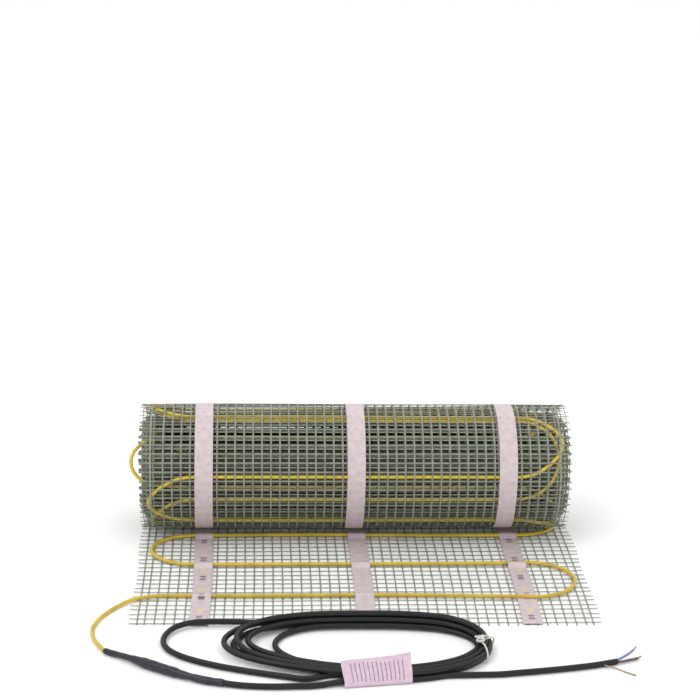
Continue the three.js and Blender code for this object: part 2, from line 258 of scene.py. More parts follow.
def joined(parts, name):
    select_only(parts[0])
    for part in parts[1:]:
        part.select_set(True)
    bpy.ops.object.join()
    return named(bpy.context.object, name)


def outward_normals(obj):
    select_only(obj)
    bpy.ops.object.mode_set(mode="EDIT")
    bpy.ops.mesh.select_all(action="SELECT")
    bpy.ops.mesh.normals_make_consistent(inside=False)
    bpy.ops.object.mode_set(mode="OBJECT")


def set_uv(obj, across, along):
    """Gives a grid its UV in metres, from millimetres at its points."""
    loops = np.zeros(len(obj.data.loops), np.int32)
    obj.data.loops.foreach_get("vertex_index", loops)
    uv = np.stack([across * MM, along * MM], axis=1)[loops]
    obj.data.uv_layers.active.data.foreach_set("uv", uv.astype(np.float32).ravel())


def thicken(obj, thickness):
    modifier = obj.modifiers.new("thickness", "SOLIDIFY")
    modifier.thickness = thickness * MM
    modifier.offset = 0
    apply_all(obj)


def apply_all(obj):
    select_only(obj)
    for modifier in list(obj.modifiers):
        bpy.ops.object.modifier_apply(modifier=modifier.name)


def named(obj, name):
    obj.name = name
    obj.data.name = name
    return obj


def smooth_shaded(obj, degrees=40):
    select_only(obj)
    bpy.ops.object.shade_smooth_by_angle(angle=math.radians(degrees))


def finish_piece(obj, material, nodes=()):
    obj.data.materials.clear()
    obj.data.materials.append(material)
    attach(obj, "root")
    if nodes:
        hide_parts(*nodes)
    return obj


def curve_through(name, points, diameter, resolution=4):
    """A round cord as a curve of one open spline."""
    data = bpy.data.curves.new(name, "CURVE")
    data.dimensions = "3D"
    data.bevel_depth = diameter / 2 * MM
    data.bevel_resolution = resolution
    data.use_fill_caps = True
    spline = data.splines.new("POLY")
    spline.points.add(len(points) - 1)
    for point, co in zip(spline.points, metres(points)):
        point.co = (*co, 1)
    spline.use_smooth = True
    obj = bpy.data.objects.new(name, data)
    bpy.context.scene.collection.objects.link(obj)
    return obj


def tube_mesh(name, points, radii, sides=16):
    """A closed tube whose radius changes along its line, made by extruding a ring."""
    p = np.array(points, float)
    radii = np.broadcast_to(np.array(radii, float), (len(p),))
    bpy.ops.mesh.primitive_circle_add(vertices=sides, radius=1, fill_type="NOTHING")
    obj = named(bpy.context.object, name)
    bpy.ops.object.mode_set(mode="EDIT")
    bpy.ops.mesh.select_all(action="SELECT")
    for _ in range(len(p) - 1):
        bpy.ops.mesh.extrude_region_move(TRANSFORM_OT_translate={"value": (0, 0, 1)})
    bpy.ops.mesh.select_all(action="SELECT")
    bpy.ops.mesh.fill_holes(sides=sides)
    bpy.ops.object.mode_set(mode="OBJECT")
    raw = points_of(obj)
    ring = np.rint(raw[:, 2]).astype(int)
    across, up = frame_along(p)
    spread = radii[ring][:, None]
    co = p[ring] + across[ring] * raw[:, :1] * spread + up[ring] * raw[:, 1:2] * spread
    place(obj, co)
    outward_normals(obj)
    return obj


# Materials

def linear(colour):
    return tuple(c / 12.92 if c <= 0.04045 else ((c + 0.055) / 1.055) ** 2.4 for c in colour) + (1.0,)


class Finish:
    """A material with its shader, and short ways to add nodes to it."""

    def __init__(self, name, roughness, specular=0.5, coat=0.0):
        self.material = bpy.data.materials.new(name)
        self.material.use_nodes = True
        self.tree = self.material.node_tree
        self.shader = self.tree.nodes["Principled BSDF"]
        self.shader.inputs["Roughness"].default_value = roughness
        self.shader.inputs["Specular IOR Level"].default_value = specular
        self.shader.inputs["Coat Weight"].default_value = coat

    def node(self, kind, **values):
        node = self.tree.nodes.new(kind)
        for key, value in values.items():
            if hasattr(node, key):
                setattr(node, key, value)
            else:
                node.inputs[key.replace("_", " ")].default_value = value
        return node

    def link(self, source, target):
        self.tree.links.new(source, target)

    def coordinates(self, output, scale=(1, 1, 1)):
        where = self.node("ShaderNodeTexCoord")
        mapping = self.node("ShaderNodeMapping")
        mapping.inputs["Scale"].default_value = scale
        self.link(where.outputs[output], mapping.inputs["Vector"])
        return mapping.outputs["Vector"]

    def noise(self, vector, scale, detail=4.0, roughness=0.6):
        node = self.node("ShaderNodeTexNoise")
        node.inputs["Scale"].default_value = scale
        node.inputs["Detail"].default_value = detail
        node.inputs["Roughness"].default_value = roughness
        self.link(vector, node.inputs["Vector"])
        return node.outputs["Fac"]

    def ramp(self, factor, stops):
        node = self.node("ShaderNodeValToRGB")
        ramp = node.color_ramp
        while len(ramp.elements) < len(stops):
            ramp.elements.new(0.5)
        for element, (at, colour) in zip(ramp.elements, stops):
            element.position = at
            element.color = linear(colour)
        self.link(factor, node.inputs["Fac"])
        return node.outputs["Color"]

    def mix(self, factor, first, second, blend="MIX"):
        node = self.node("ShaderNodeMix", data_type="RGBA", blend_type=blend)
        for socket, value in (("Factor", factor), ("A", first), ("B", second)):
            index = {"Factor": 0, "A": 6, "B": 7}[socket]
            if hasattr(value, "links"):
                self.link(value, node.inputs[index])
            else:
                node.inputs[index].default_value = value
        return node.outputs[2]

    def math(self, operation, first, second=0.0):
        node = self.node("ShaderNodeMath", operation=operation)
        for index, value in enumerate((first, second)):
            if hasattr(value, "links"):
                self.link(value, node.inputs[index])
            else:
                node.inputs[index].default_value = value
        return node.outputs[0]

    def colour(self, output):
        self.link(output, self.shader.inputs["Base Color"])

    def rough(self, factor, low, high):
        node = self.node("ShaderNodeMapRange")
        node.inputs["To Min"].default_value = low
        node.inputs["To Max"].default_value = high
        self.link(factor, node.inputs["Value"])
        self.link(node.outputs["Result"], self.shader.inputs["Roughness"])

    def bump(self, height, strength, distance):
        node = self.node("ShaderNodeBump")
        node.inputs["Strength"].default_value = strength
        node.inputs["Distance"].default_value = distance * MM
        self.link(height, node.inputs["Height"])
        self.link(node.outputs["Normal"], self.shader.inputs["Normal"])


def varied(colour, amount):
    return tuple(min(1.0, max(0.0, c * (1 + amount))) for c in colour)


def net_finish(name, base):
    f = Finish(name, 0.55)
    where = f.coordinates("Object")
    dust = f.noise(where, 160)
    f.colour(f.ramp(dust, [(0.25, varied(base, -0.28)), (0.5, base), (0.8, varied(base, 0.16))]))
    f.rough(f.noise(where, 700), 0.42, 0.7)
    f.bump(f.noise(where, 2600, 2), 0.5, 0.15)
    return f.material


def cable_finish(colours):
    f = Finish("yellow_sheath", 0.38, coat=0.15)
    where = f.coordinates("Object")
    base = tuple(colours.cable)
    tone = f.noise(where, 45)
    f.colour(f.ramp(tone, [(0.3, varied(base, -0.12)), (0.55, base), (0.8, varied(base, 0.08))]))
    f.rough(f.noise(where, 400), 0.3, 0.5)
    f.bump(f.noise(where, 900, 2), 0.25, 0.1)
    return f.material


def lead_finish(colours):
    f = Finish("black_sheath", 0.4, specular=0.35)
    where = f.coordinates("Object")
    base = tuple(colours.lead)
    tone = f.noise(where, 60)
    f.colour(f.ramp(tone, [(0.3, varied(base, -0.2)), (0.6, base), (0.85, varied(base, 0.3))]))
    f.rough(f.noise(where, 260), 0.34, 0.52)
    f.bump(f.noise(where, 1500, 3), 0.2, 0.08)
    return f.material


def sleeve_finish(colours):
    f = Finish("shrunk_sleeve", 0.3, specular=0.4, coat=0.1)
    where = f.coordinates("Object")
    base = tuple(colours.sleeve)
    f.colour(f.ramp(f.noise(where, 90), [(0.3, varied(base, -0.25)), (0.7, varied(base, 0.15))]))
    f.rough(f.noise(where, 300), 0.24, 0.46)
    f.bump(f.noise(where, 340, 3), 0.45, 0.25)
    return f.material


YELLOW_INK = (0.92, 0.80, 0.28)
DARK_INK = (0.22, 0.20, 0.24)

# The printed bars in each 46 mm of tape, in metres: start, end, half width and ink
TAPE_MARKS = (
    (0.006, 0.0085, 0.0034, DARK_INK), (0.0100, 0.0115, 0.0026, DARK_INK),
    (0.0130, 0.0155, 0.0034, DARK_INK), (0.0240, 0.0260, 0.0030, YELLOW_INK),
    (0.0285, 0.0305, 0.0030, YELLOW_INK),
)
TAPE_MARK_PITCH = 0.046


def tape_finish(colours, name, marks):
    """Thin tape with faint creases. UV is in metres, across and along. Marks are plain printed bars."""
    f = Finish(name, 0.5)
    uv = f.coordinates("UV")
    base = tuple(colours.tape)
    tone = f.noise(uv, 150)
    colour = f.ramp(tone, [(0.25, varied(base, -0.1)), (0.6, base), (0.85, varied(base, 0.05))])
    split = f.node("ShaderNodeSeparateXYZ")
    f.link(uv, split.inputs["Vector"])
    across, along = split.outputs["X"], split.outputs["Y"]
    if marks:
        tape_width = millimetres("tape_width")
        cell = f.math("MODULO", along, TAPE_MARK_PITCH)
        off_middle = f.math("ABSOLUTE", f.math("SUBTRACT", across, tape_width * MM / 2))
        for start, end, reach, ink in TAPE_MARKS:
            within = f.math("MULTIPLY", f.math("GREATER_THAN", cell, start), f.math("LESS_THAN", cell, end))
            inside = f.math("MULTIPLY", within, f.math("LESS_THAN", off_middle, reach))
            colour = f.mix(f.math("MULTIPLY", inside, 0.8), colour, linear(ink))
    f.colour(colour)
    weave = f.node("ShaderNodeTexWave", wave_type="BANDS", bands_direction="Y")
    weave.inputs["Scale"].default_value = 120
    weave.inputs["Distortion"].default_value = 2.5
    weave.inputs["Detail"].default_value = 2
    f.link(uv, weave.inputs["Vector"])
    height = f.math("ADD", f.math("MULTIPLY", weave.outputs["Fac"], 0.3), f.noise(uv, 420))
    f.bump(height, 0.35, 0.2)
    f.rough(f.noise(uv, 90), 0.4, 0.6)
    return f.material


def label_finish(colours):
    """Pink paper with plain ruled lines. UV is in metres, along the lead and round it."""
    f = Finish("label_paper", 0.85, specular=0.25)
    uv = f.coordinates("UV")
    base = tuple(colours.label)
    paper = f.ramp(f.noise(uv, 220), [(0.3, varied(base, -0.06)), (0.7, varied(base, 0.03))])
    split = f.node("ShaderNodeSeparateXYZ")
    f.link(uv, split.inputs["Vector"])
    x, y = split.outputs["X"], split.outputs["Y"]
    rows = f.math("LESS_THAN", f.math("MODULO", x, 0.0042), 0.0011)
    margin = f.math("MULTIPLY", f.math("GREATER_THAN", x, 0.007), f.math("LESS_THAN", x, 0.061))
    body = f.math("MULTIPLY", f.math("GREATER_THAN", y, 0.0065), f.math("LESS_THAN", y, 0.033))
    ruled = f.math("MULTIPLY", f.math("MULTIPLY", rows, margin), body)
    ink = f.math("MULTIPLY", ruled, f.math("GREATER_THAN", f.noise(uv, 900, 1), 0.42))
    f.colour(f.mix(f.math("MULTIPLY", ink, 0.75), paper, linear((0.33, 0.28, 0.36))))
    f.bump(f.noise(uv, 110, 3), 0.3, 0.6)
    return f.material


def tie_finish(colours):
    f = Finish("milky_film", 0.25, coat=0.3)
    where = f.coordinates("Object")
    base = tuple(colours.tie)
    f.colour(f.ramp(f.noise(where, 500), [(0.3, varied(base, -0.25)), (0.7, varied(base, 0.08))]))
    f.bump(f.noise(where, 900, 3), 0.6, 0.3)
    f.shader.inputs["Subsurface Weight"].default_value = 0.2
    f.shader.inputs["Subsurface Scale"].default_value = 0.001
    return f.material


def core_finish(name, colour, rough=0.42):
    f = Finish(name, rough)
    where = f.coordinates("Object")
    f.colour(f.ramp(f.noise(where, 300), [(0.3, varied(colour, -0.15)), (0.75, varied(colour, 0.1))]))
    f.bump(f.noise(where, 1800, 2), 0.2, 0.06)
    return f.material


def copper_finish():
    f = Finish("tinned_copper", 0.35)
    f.shader.inputs["Metallic"].default_value = 0.85
    where = f.coordinates("Object")
    f.colour(f.ramp(f.noise(where, 900), [(0.3, (0.52, 0.46, 0.34)), (0.75, (0.78, 0.72, 0.58))]))
    f.bump(f.noise(where, 4000, 2), 0.5, 0.08)
    return f.material


def floor_finish():
    f = Finish("pale_floor", 0.9, specular=0.1)
    where = f.coordinates("Object")
    f.colour(f.ramp(f.noise(where, 3), [(0.0, (0.975, 0.975, 0.975)), (1.0, (0.985, 0.985, 0.985))]))
    return f.material


# The net: one crossing of two threads, copied across and along the mat, then wound

def thread(length, along_s, steps, width):
    """A straight stretch of thread with four sides and open ends."""
    bpy.ops.mesh.primitive_cylinder_add(vertices=4, radius=0.5, depth=length, end_fill_type="NOTHING")
    obj = bpy.context.object
    bpy.ops.object.mode_set(mode="EDIT")
    for k in range(1, steps):
        bpy.ops.mesh.select_all(action="SELECT")
        at = -length / 2 + length * k / steps
        bpy.ops.mesh.bisect(plane_co=(0, 0, at), plane_no=(0, 0, 1))
    bpy.ops.object.mode_set(mode="OBJECT")
    co = points_of(obj)
    across, up, along = co[:, 0] * width, co[:, 1] * THREAD_THICKNESS, co[:, 2]
    out = np.stack([across, along, up] if along_s else [along, across, up], axis=1)
    obj.data.vertices.foreach_set("co", out.astype(np.float32).ravel())
    return obj


def net_piece(name, first_row, rows, steps, weft, warp):
    cross = thread(MESH, False, 1, weft)
    long = thread(MESH, True, steps, warp)
    co = points_of(long)
    co[:, 2] -= THREAD_THICKNESS * 0.45
    co[:, 1] += MESH / 2
    long.data.vertices.foreach_set("co", co.astype(np.float32).ravel())
    obj = joined([cross, long], name)
    for offset, count in (((MESH, 0, 0), int(2 * HALF_WIDTH / MESH)), ((0, MESH, 0), rows)):
        array = obj.modifiers.new("copies", "ARRAY")
        array.use_relative_offset = False
        array.use_constant_offset = True
        array.constant_offset_displace = offset
        array.count = count
        array.use_merge_vertices = True
        array.merge_threshold = 0.01
    apply_all(obj)
    bpy.ops.object.mode_set(mode="EDIT")
    bpy.ops.mesh.select_all(action="SELECT")
    bpy.ops.mesh.normals_make_consistent(inside=False)
    bpy.ops.mesh.fill_holes(sides=4)
    bpy.ops.object.mode_set(mode="OBJECT")
    co = points_of(obj)
    co[:, 0] += -HALF_WIDTH + MESH / 2
    co[:, 1] += first_row * MESH
    on_warp = np.abs(np.mod(co[:, 0], MESH) - MESH / 2) < 0.2 * MESH
    fringe = np.abs(co[:, 0]) > HALF_WIDTH - 1
    selvedge = (np.abs(co[:, 0]) > 232) & (np.abs(co[:, 0]) < 238)
    co[:, 0] -= np.where(selvedge, np.sign(co[:, 0]) * (HALF_WIDTH - MESH / 2 - SELVEDGE_X), 0)
    row = np.rint(co[:, 1] / MESH)
    co[:, 0] += np.where(fringe, np.sign(co[:, 0]) * (0.8 + 1.2 * np.sin(row * 12.9898)), 0)
    co[:, 1] += np.where(fringe, 1.3 * np.sin(row * 78.233), 0)
    if first_row == 0:
        ends = 1.6 + 4.4 * smooth((co[:, 0] - 20) / 120) + 0.6 * np.sin(co[:, 0] * 1.7)
        co[:, 1] -= np.where(on_warp & (co[:, 1] < 0.1 * MESH), ends, 0)
    place(obj, wind(co))
    smooth_shaded(obj, 80)
    return obj


class HEATMAT_OT_net(bpy.types.Operator):
    """Lay the glass-fibre net flat and wind the rest of it into the roll"""

    bl_idname = "heatmat.net"
    bl_label = "Net"

    def execute(self, context):
        colours = context.scene.heatmat_colours
        finish = net_finish("resin_coated_net", tuple(colours.net))
        # Painted shade: the roll's inner turns take a darker copy of the net's colour for the shade inside
        # the roll
        shaded = net_finish("painted_shade_inner_net", tuple(colours.painted_shade_inner_net))
        rows = int(MAT_LENGTH / MESH)
        flat_thread, outer_thread = millimetres("flat_thread"), millimetres("rolled_thread")
        flat = net_piece("net_flat", 0, FLAT_ROWS, 2, flat_thread, flat_thread)
        finish_piece(flat, finish, FLAT_NET_NODES)
        outer = net_piece("net_roll_outer", FLAT_ROWS, OUTER_ROWS, 2, outer_thread, outer_thread)
        finish_piece(outer, finish, ("rolled_mat",))
        start = FLAT_ROWS + OUTER_ROWS
        inner = net_piece("net_roll_inner", start, rows - start, 1, INNER_WEFT, INNER_WARP)
        finish_piece(inner, shaded, ("rolled_mat",))
        return {"FINISHED"}


# The heating cable

def all_passes():
    passes = list(FLAT_PASSES + OUTER_PASSES + SECOND_PASSES)
    while passes[-1] + INNER_PITCH < MAT_LENGTH - 40:
        passes.append(passes[-1] + INNER_PITCH)
    return passes


def cable_route():
    """The cable's flat line (x, s, h): straight passes joined by turns at alternate edges."""
    passes = all_passes()
    slants = dict(enumerate(PASS_SLANTS, start=1))
    points = [(x, passes[0] - drop, CABLE_HEIGHT) for x, drop in CABLE_EXIT]
    for number, s in enumerate(passes, start=1):
        side = 1 if number % 2 else -1
        for k in range(10):
            x = -side * TURN_START_X + side * 2 * TURN_START_X * k / 9
            if number > 1 or k > 0:
                points.append((x, s + slants.get(number, 0) * max(x / TURN_START_X, 0) ** 2, CABLE_HEIGHT))
        if number == len(passes):
            break
        shares = (slants.get(number, 0), slants.get(number + 1, 0)) if side > 0 else (0, 0)
        near, far = s + shares[0], passes[number] + shares[1]
        half = (far - near) / 2
        reach = LOOSE_REACH if number == LOOSE_TURN else TURN_REACH
        for k in range(1, 16):
            a = math.pi * k / 16
            x = side * (TURN_START_X + reach * math.sin(a))
            points.append((x, near + half - half * math.cos(a), CABLE_HEIGHT))
    return points


class HEATMAT_OT_cable(bpy.types.Operator):
    """Lay the heating cable to and fro on the net"""

    bl_idname = "heatmat.cable"
    bl_label = "Heating cable"

    def execute(self, context):
        finish = cable_finish(context.scene.heatmat_colours)
        obj = curve_through("mat_cable", wind(cable_route()), millimetres("cable_diameter"), 3)
        select_only(obj)
        bpy.ops.object.convert(target="MESH")
        obj = named(bpy.context.object, "mat_cable")
        finish_piece(obj, finish, ("heating_cable",))
        return {"FINISHED"}


# The tapes

def tape_piece(name, x, over, steps):
    """A tape as long as the mat, on the cable's side of the net or below it."""
    start, end = -FRINGE, MAT_LENGTH - 6
    width = millimetres("tape_width")
    bpy.ops.mesh.primitive_grid_add(x_subdivisions=4, y_subdivisions=steps, size=1, calc_uvs=True)
    obj = named(bpy.context.object, name)
    co = points_of(obj)
    u, v = co[:, 0] + 0.5, co[:, 1] + 0.5
    s = start + v * (end - start)
    crossing = 0.5 + 0.5 * np.cos(2 * math.pi * s / MESH)
    if over:
        h = 0.55 + 0.15 * crossing
        raised = CABLE_HEIGHT + millimetres("cable_diameter") / 2 + 0.15
        for at in all_passes():
            away = np.abs(s - at)
            h = np.maximum(h, raised * (1 - smooth((away - 1.6) / 5.2)))
    else:
        h = -0.98 - 0.05 * crossing + 0.12 * (1 - crossing) * smooth((s - ROLL_START) / 10)
    wander = 0.5 * np.sin(s / 37.0 + x)
    flat = np.stack([x + (u - 0.5) * width + wander, s, h], axis=1)
    set_uv(obj, u * width, s)
    place(obj, wind(flat))
    thicken(obj, millimetres("tape_thickness"))
    smooth_shaded(obj, 60)
    return obj


class HEATMAT_OT_tapes(bpy.types.Operator):
    """Stick three tapes over the cable and three below the net"""

    bl_idname = "heatmat.tapes"
    bl_label = "Tapes"

    def execute(self, context):
        colours = context.scene.heatmat_colours
        plain = tape_finish(colours, "plain_tape", False)
        printed = tape_finish(colours, "marked_tape", True)
        for side, x in zip(SIDES, TAPE_XS):
            under = tape_piece(f"tape_under_{side}", x, False, 1200)
            finish_piece(under, plain, (f"floor_tape_{side}", f"roll_tape_{side}"))
            over = tape_piece(f"tape_over_{side}", x, True, 1500)
            finish_piece(over, plain if side == "middle" else printed, (f"top_tape_{side}",))
        return {"FINISHED"}


# The free cords

def coil_line(step):
    """The middle of the coil's bundle and its outward direction, from the label's middle and on round."""
    line = catmull([(x, s, 0) for x, s in COIL_MIDDLE], step, closed=True)[:, :2]
    line[:, 1] += 4.5 * smooth((-60 - line[:, 1]) / 50)
    start = int(np.argmin(np.linalg.norm(line - np.array((4.0, -117.0)), axis=1)))
    line = np.roll(line, -start, axis=0)[::-1]
    line = np.roll(line, 1, axis=0)
    tangent = np.roll(line, -1, axis=0) - np.roll(line, 1, axis=0)
    tangent /= np.linalg.norm(tangent, axis=1)[:, None]
    outward = np.stack([tangent[:, 1], -tangent[:, 0]], axis=1)
    return line, outward


def bundle_floor(s):
    """How high the coil's lowest strands lie: on the floor in front, on the mat's edge at the back."""
    return 0.1 + 2.3 * smooth((np.asarray(s, float) + 40) / 34)


# Each turn's place in the back of the bundle and in its front, (outward, up) in strands, and how far
# left it reaches
COIL_TURNS = (
    ((0.0, 1.74), (0.0, 0.87), 0.99), ((0.5, 0.87), (1.0, 0.87), 1.09), ((-0.5, 0.87), (-1.0, 0.87), 0.9),
    ((-1.0, 0.0), (-1.5, 0.0), 0.6), ((0.0, 0.0), (-0.5, 0.0), 1.04), ((1.0, 0.0), (0.5, 0.0), 1.0),
)
OUTSIDE_LANE = ((2.0, 0.0), (1.5, 0.0))
REACH_FROM_X = -45.0
LANE_CHANGE = 0.075
WIDE_LOOP_LEAVES_X = -96.0


def coil_route():
    """The coil's turns from the label's middle to the wide loop, then from its end to the exit."""
    line, outward = coil_line(9.0)
    count = len(line)
    lanes = [OUTSIDE_LANE] + [turn[:2] for turn in COIL_TURNS] + [OUTSIDE_LANE]
    lead_radius = millimetres("lead_diameter") / 2
    before, after = [], []
    last = len(COIL_TURNS) - 1
    for j in range(3, count * len(COIL_TURNS) + 9):
        t = j / count
        boundary = round(t)
        change = smooth((t - boundary + LANE_CHANGE) / (2 * LANE_CHANGE))
        turn = min(int(t), last)
        i = j % count
        back = smooth((line[i, 1] + 85) / 50)
        own, following = (
            np.array(front) * (1 - back) + np.array(rear) * back
            for rear, front in lanes[boundary:boundary + 2]
        )
        u, v = own + (following - own) * change
        x = line[i, 0] + outward[i, 0] * u * LANE
        s = line[i, 1] + outward[i, 1] * u * LANE
        if x < REACH_FROM_X:
            x = REACH_FROM_X + (x - REACH_FROM_X) * COIL_TURNS[turn][2]
        point = (x, s, bundle_floor(s) + lead_radius + v * LANE)
        share = t - last
        if share < 0 or (share < 0.7 and x > WIDE_LOOP_LEAVES_X):
            before.append(point)
        elif share > 0.85 and -46 < x < 78:
            after.append(point)
    return before, after


def cold_lead_route():
    before, after = coil_route()
    pieces = [LEAD_START_ROUTE, before, WIDE_LOOP_ROUTE[::-1], after, LEAD_END_ROUTE]
    points = catmull(np.concatenate([np.array(piece, float) for piece in pieces]), 5.0)
    for _ in range(2):
        points[1:-1] = (points[:-2] + 2 * points[1:-1] + points[2:]) / 4
    return points


def yellow_route():
    """The yellow cable from the mat's edge into the sleeve."""
    return catmull(YELLOW_ROUTE + SLEEVE_ROUTE[:7], 3.0)


class HEATMAT_OT_leads(bpy.types.Operator):
    """Lead the yellow cable off the mat and coil the black cold lead in front of it"""

    bl_idname = "heatmat.leads"
    bl_label = "Leads"

    def execute(self, context):
        colours = context.scene.heatmat_colours
        obj = curve_through("yellow_lead_cord", yellow_route(), millimetres("cable_diameter"))
        finish_piece(obj, cable_finish(colours), ("yellow_lead",))
        obj = curve_through("cold_lead_cord", cold_lead_route(), millimetres("lead_diameter"))
        nodes = ("lead_start", "lead_wide_loop", "lead_coil", "lead_end")
        finish_piece(obj, lead_finish(colours), nodes)
        return {"FINISHED"}


# The sleeve's radius at shares of its length
SLEEVE_STATIONS = (0, 0.004, 0.02, 0.24, 0.30, 0.36, 0.42, 0.60, 0.63, 0.655, 0.70, 0.74, 0.97, 0.985, 1)
SLEEVE_RADII = (2.4, 2.85, 2.95, 3.1, 4.0, 5.1, 4.9, 4.85, 4.75, 4.0, 3.8, 3.5, 3.75, 3.75, 3.3)


class HEATMAT_OT_sleeve(bpy.types.Operator):
    """Shrink the joint sleeve over the end of the yellow cable"""

    bl_idname = "heatmat.sleeve"
    bl_label = "Joint sleeve"

    def execute(self, context):
        line = catmull(SLEEVE_ROUTE, 1.6)
        along = distances(line)
        radius = np.interp(along / along[-1], SLEEVE_STATIONS, SLEEVE_RADII)
        radius += 0.13 * np.sin(along / 4.3) + 0.09 * np.sin(along / 1.9 + 1)
        line[:, 2] = np.maximum(line[:, 2], radius + 0.05)
        obj = tube_mesh("joint_sleeve_shrunk", line, radius, 20)
        smooth_shaded(obj, 50)
        colours = context.scene.heatmat_colours
        finish_piece(obj, sleeve_finish(colours), ("joint_sleeve",))
        return {"FINISHED"}


class HEATMAT_OT_cores(bpy.types.Operator):
    """Bare the cores at the end of the cold lead"""

    bl_idname = "heatmat.cores"
    bl_label = "Cores"

    def execute(self, context):
        colours = context.scene.heatmat_colours
        copper = copper_finish()
        for name, colour in (("brown", colours.brown), ("blue", colours.blue)):
            line = catmull(CORE_ROUTES[name], 1.2)
            bare = max(3, len(line) // 4)
            obj = tube_mesh(f"core_{name}_sheath", line[:-bare + 1], 1.3, 14)
            smooth_shaded(obj, 50)
            finish_piece(obj, core_finish(f"core_{name}", tuple(colour)), (f"core_{name}",))
            tip = stranded_wire(f"core_{name}_wire", line[-bare - 1:], 0.85, 7)
            finish_piece(tip, copper)
        line = catmull(CORE_ROUTES["earth"], 1.0)
        earth = stranded_wire("core_earth_wire", line, 0.7, 7)
        finish_piece(earth, copper, ("core_earth",))
        return {"FINISHED"}


def stranded_wire(name, line, radius, strands):
    """A bare wire of thin strands twisted round each other."""
    along = distances(line)
    across, up = frame_along(line)
    parts = []
    for strand in range(strands):
        turn = 2 * math.pi * strand / (strands - 1) + along / 2.4
        reach = 0 if strand == strands - 1 else radius * 0.66
        open_end = 1 + 0.5 * smooth((along / along[-1] - 0.8) / 0.2) * math.sin(strand * 2.1)
        sideways = across * np.cos(turn)[:, None] + up * np.sin(turn)[:, None]
        path = line + sideways * (reach * open_end)[:, None]
        path[:, 2] = np.maximum(path[:, 2], 0.3)
        parts.append(tube_mesh(f"{name}_{strand}", path, radius * 0.34, 6))
    obj = joined(parts, name)
    smooth_shaded(obj, 50)
    return obj


# The label

PAPER_THICKNESS = 0.16
LABEL_X = (-30.0, 38.0)

# The label's section (s, z) at its two ends, from the free edge over the bundle and back below it
LABEL_LEFT = (
    (-100.5, 11.7), (-104, 12.3), (-109, 12.6), (-117, 12.2), (-124, 9.0), (-131, 7.4), (-133.6, 3.4),
    (-130.5, 0.25), (-115, 0.2), (-100, 0.25), (-97, 3.2), (-98.5, 8.5),
)
LABEL_RIGHT = (
    (-95.5, 18.3), (-99.5, 15.6), (-105.5, 13.4), (-112, 12.9), (-118, 12.3), (-123, 8.8), (-125.4, 3.8),
    (-122.5, 0.25), (-112, 0.2), (-100, 0.25), (-97, 3.2), (-98.5, 8.5),
)


class HEATMAT_OT_label(bpy.types.Operator):
    """Wrap the paper label round the front of the coil"""

    bl_idname = "heatmat.label"
    bl_label = "Label"

    def execute(self, context):
        bpy.ops.mesh.primitive_grid_add(x_subdivisions=34, y_subdivisions=60, size=1, calc_uvs=True)
        obj = named(bpy.context.object, "lead_label_paper")
        co = points_of(obj)
        u, v = co[:, 0] + 0.5, co[:, 1] + 0.5
        x = LABEL_X[0] + u * (LABEL_X[1] - LABEL_X[0])
        y, z, at = np.zeros(len(x)), np.zeros(len(x)), np.zeros(len(x))
        left, right = (np.array(section) for section in (LABEL_LEFT, LABEL_RIGHT))
        for column in np.unique(np.round(u, 4)):
            own = np.abs(u - column) < 1e-3
            section = left + (right - left) * column
            section[:3, 1] += 0.5 * math.sin(column * 8)
            around = catmull([(0, a, b) for a, b in section], 1.0)
            along = distances(around)
            at[own] = v[own] * along[-1]
            y[own] = np.interp(at[own], along, around[:, 1])
            z[own] = np.interp(at[own], along, around[:, 2])
        z += 0.2 * np.sin(u * 14 + v * 9) * (z > 1)
        set_uv(obj, u * (LABEL_X[1] - LABEL_X[0]), at)
        x += 3.0 * (1 - u) * smooth((v - 0.1) / 0.35)
        place(obj, np.stack([x, y, np.maximum(z, 0.12)], axis=1))
        thicken(obj, PAPER_THICKNESS)
        smooth_shaded(obj, 60)
        colours = context.scene.heatmat_colours
        finish_piece(obj, label_finish(colours), ("lead_label",))
        return {"FINISHED"}


# Half of the tie, from the knot over the strands to the floor: share of the spread along the coil,
# outward from the bundle's middle, and height
TIE_STRAP = (
    (0.0, -7.5, 13.2), (0.15, -3.5, 14.4), (0.4, 1.5, 14.2), (0.75, 6.8, 12.4), (0.95, 9.8, 8.2),
    (1.0, 9.6, 3.6), (1.0, 9.0, 1.1),
)
TIE_SPREAD = 18.0
TIE_STEP = 3.0
TIE_PLACE = (115.0, -66.0)
KNOT_INSET = 4.5
KNOT_Z = 13.2


